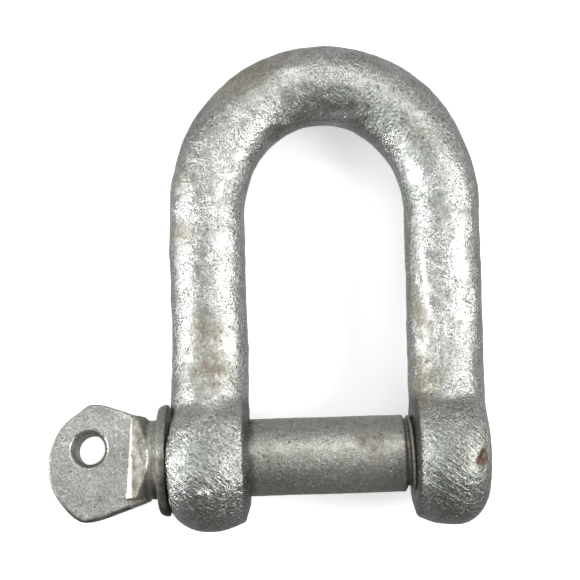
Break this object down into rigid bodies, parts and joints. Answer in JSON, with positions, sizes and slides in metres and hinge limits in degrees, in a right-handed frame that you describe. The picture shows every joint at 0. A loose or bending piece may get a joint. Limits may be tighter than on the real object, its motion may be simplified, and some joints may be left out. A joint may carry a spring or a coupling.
{
  "type": "long dee shackle with screw pin",
  "caption": "Galvanised long dee shackle: a round bar bent into a U with barrel ears, closed by a collared screw pin with a flat, pierced eye.",
  "frame": {"origin": "on the pin axis, midway across the jaw", "axes": "+X along the pin from the eye to the tapped ear, +Y from the pin to the crown of the bow, +Z square to the plane of the bow"},
  "size_m": [0.1148, 0.1282, 0.038],
  "materials": {
    "galvanised_body": "hot-dip galvanised zinc, grainy and bright with dull grey-green and brown stained patches",
    "galvanised_pin": "hot-dip galvanised zinc, matt, faintly tan and stained brown"
  },
  "bodies": {
    "shackle_body": {"shackle_body": "galvanised_body"},
    "pin_shank": {"pin_shank": "galvanised_pin"},
    "pin_head": {"pin_head": "galvanised_pin"}
  },
  "joints": [
    {"name": "pin_withdraw", "type": "slide", "parent": "shackle_body", "child": "pin_shank", "axis": [-1, 0, 0], "range_m": [0, 0.09563]},
    {"name": "pin_turn", "type": "hinge", "parent": "pin_shank", "child": "pin_head", "pos_m": [-0.0437, 0, 0], "axis": [-1, 0, 0], "range_deg": [0, 13770]}
  ],
  "couplings": [
    {"joint": "pin_turn", "follows": "pin_withdraw", "rad_per_m": 2513.3}
  ]
}
